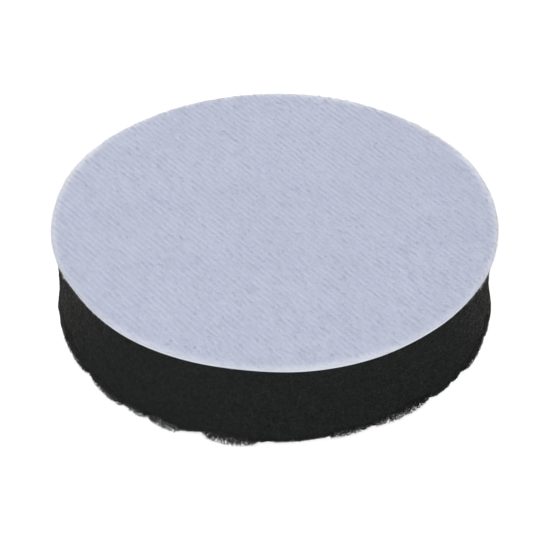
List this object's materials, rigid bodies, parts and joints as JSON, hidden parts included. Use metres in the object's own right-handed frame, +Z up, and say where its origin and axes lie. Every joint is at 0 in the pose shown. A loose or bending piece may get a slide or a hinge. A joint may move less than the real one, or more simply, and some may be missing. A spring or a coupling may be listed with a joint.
{
  "type": "polishing pad",
  "caption": "Round open-cell foam polishing pad with a looped fabric backing disc and a waffle-dented working face.",
  "frame": {"origin": "on the surface the pad lies on, under the pad's own axis, at the plane of its working face", "axes": "+Z up along the pad's axis, from the foam's working face to the looped backing; +X and +Y lie in the working plane, the waffle grid's rows being turned 27.2 degrees from +X"},
  "size_m": [0.15, 0.15, 0.035],
  "materials": {
    "loop_fabric": "brushed loop pile, matte",
    "hot_melt_film": "milky, matte",
    "black_foam": "open-cell, matte"
  },
  "bodies": {
    "root": {"loop_backing": "loop_fabric", "adhesive_film": "hot_melt_film", "foam_pad": "black_foam"}
  },
  "joints": []
}
